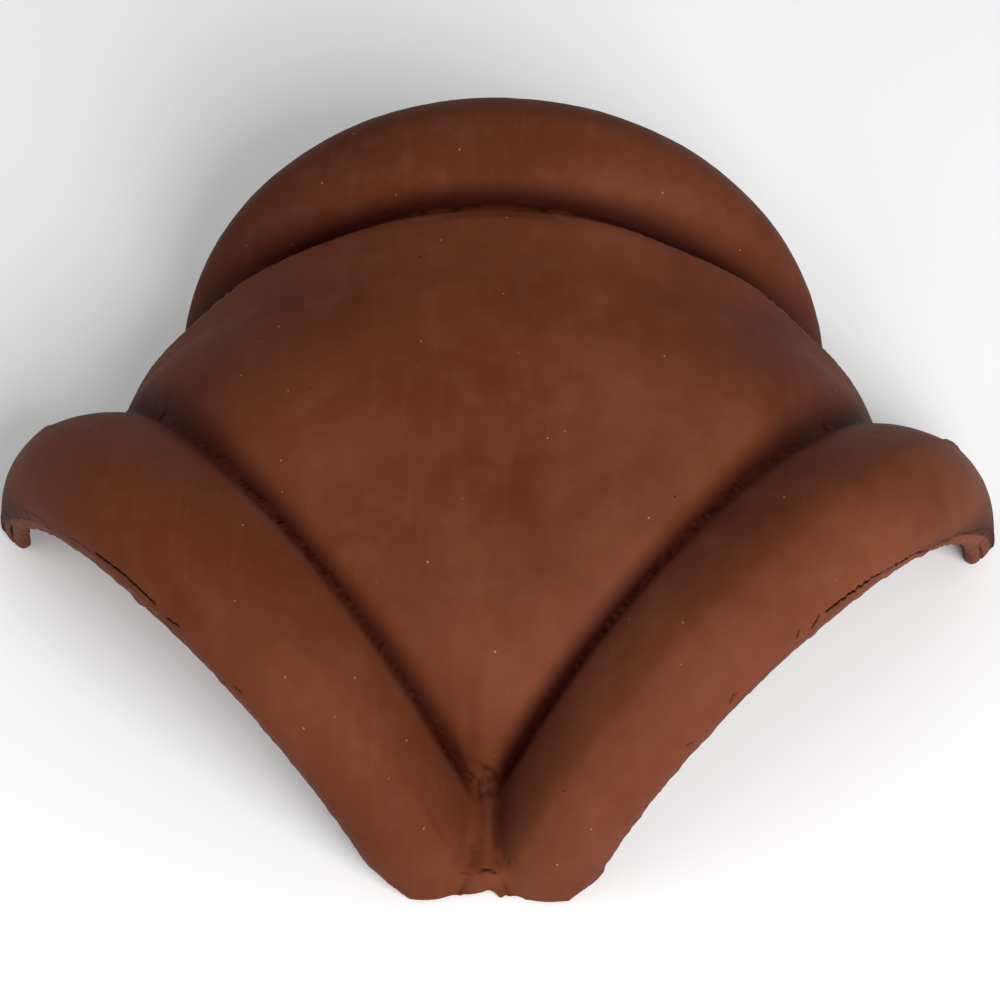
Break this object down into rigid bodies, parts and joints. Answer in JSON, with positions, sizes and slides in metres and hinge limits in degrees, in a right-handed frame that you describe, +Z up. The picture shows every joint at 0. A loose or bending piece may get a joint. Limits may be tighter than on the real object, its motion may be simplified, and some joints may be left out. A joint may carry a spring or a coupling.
{
  "type": "ridge junction tile",
  "caption": "Three-way fired-clay tile that joins a roof ridge to two hips, with a smooth hollow dome and rounded collars around its open arched mouths.",
  "frame": {"origin": "centre of the tile's bounding box, on the plane that its cut edges stand on", "axes": "+Z up, +Y along the ridge arm, +X to the right seen from the corner between the two hip arms"},
  "size_m": [0.4306, 0.3348, 0.1336],
  "materials": {
    "clay": "fired clay, smooth and dull, with a faint sheen"
  },
  "bodies": {
    "root": {"ridge_junction_tile": "clay"}
  },
  "joints": []
}
